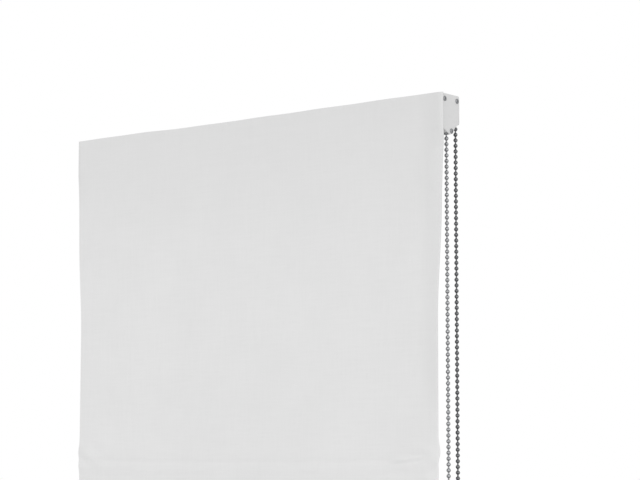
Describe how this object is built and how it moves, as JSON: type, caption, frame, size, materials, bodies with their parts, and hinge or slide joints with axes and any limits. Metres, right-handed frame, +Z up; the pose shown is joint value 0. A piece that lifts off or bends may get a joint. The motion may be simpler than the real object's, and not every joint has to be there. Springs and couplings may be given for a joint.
{
  "type": "roman blind",
  "caption": "Flat cloth roman blind on an aluminium headrail, drawn up by lift cords that a ball chain control winds onto spools, with battens in sewn pockets behind the cloth.",
  "frame": {"origin": "on the ceiling plane, midway between the two bracket screws", "axes": "+X along the rail towards the chain control, +Y to the back, +Z up"},
  "size_m": [0.543, 0.0355, 1.401],
  "materials": {
    "cloth": "woven matt",
    "tape": "hook and loop",
    "rail_aluminium": "satin anodised",
    "bracket_steel": "zinc plated",
    "control_plastic": "fine moulded",
    "screw_steel": "dark steel",
    "white_plastic": "moulded",
    "batten_rod": "pulled glass fibre",
    "lift_cord": "braided",
    "chain_metal": "nickel plated"
  },
  "bodies": {
    "headrail_set": {"headrail": "rail_aluminium", "bracket_left": "bracket_steel", "bracket_right": "bracket_steel", "hook_tape": "tape", "loop_tape": "tape", "fabric": "cloth", "control_housing": "control_plastic", "control_cover": "control_plastic", "cover_screws": "screw_steel", "cradle_left": "white_plastic", "cradle_right": "white_plastic", "end_cap": "control_plastic", "lift_cord_left": "lift_cord", "lift_cord_right": "lift_cord", "chain_front_run": "chain_metal", "chain_rear_run": "chain_metal", "chain_bottom_bend": "chain_metal", "chain_connector": "chain_metal"},
    "drive_set": {"chain_wheel": "white_plastic", "chain_wheel_wrap": "chain_metal", "brake_spring": "bracket_steel", "brake_hub": "white_plastic", "drive_shaft": "rail_aluminium", "shaft_bush": "white_plastic", "spool_left": "white_plastic", "spool_right": "white_plastic"},
    "bottom_set": {"bottom_bar": "rail_aluminium", "bar_plugs": "white_plastic", "cord_anchors": "white_plastic", "cord_stops": "white_plastic"},
    "batten_set_1": {"batten_1": "batten_rod", "cord_guides_1": "white_plastic"},
    "batten_set_2": {"batten_2": "batten_rod", "cord_guides_2": "white_plastic"},
    "batten_set_3": {"batten_3": "batten_rod", "cord_guides_3": "white_plastic"},
    "batten_set_4": {"batten_4": "batten_rod", "cord_guides_4": "white_plastic"}
  },
  "joints": [
    {"name": "lift", "type": "slide", "parent": "headrail_set", "child": "bottom_set", "axis": [0, 0, 1], "range_m": [0, 1.1], "deforming": ["fabric", "lift_cord_left", "lift_cord_right"]},
    {"name": "drive_turn", "type": "hinge", "parent": "headrail_set", "child": "drive_set", "pos_m": [0, 0.0043, -0.01925], "axis": [-1, 0, 0], "range_deg": [0, 8760]},
    {"name": "batten_1_rise", "type": "slide", "parent": "headrail_set", "child": "batten_set_1", "axis": [0, 0, 1], "range_m": [0, 0.2902]},
    {"name": "batten_2_rise", "type": "slide", "parent": "headrail_set", "child": "batten_set_2", "axis": [0, 0, 1], "range_m": [0, 0.5313]},
    {"name": "batten_3_rise", "type": "slide", "parent": "headrail_set", "child": "batten_set_3", "axis": [0, 0, 1], "range_m": [0, 0.7724]},
    {"name": "batten_4_rise", "type": "slide", "parent": "headrail_set", "child": "batten_set_4", "axis": [0, 0, 1], "range_m": [0, 1.0135]}
  ],
  "couplings": [
    {"joint": "drive_turn", "follows": "lift", "rad_per_m": 138.89},
    {"joint": "batten_1_rise", "follows": "lift", "ratio": 0.26288},
    {"joint": "batten_2_rise", "follows": "lift", "ratio": 0.48207},
    {"joint": "batten_3_rise", "follows": "lift", "ratio": 0.70126},
    {"joint": "batten_4_rise", "follows": "lift", "ratio": 0.92046}
  ]
}
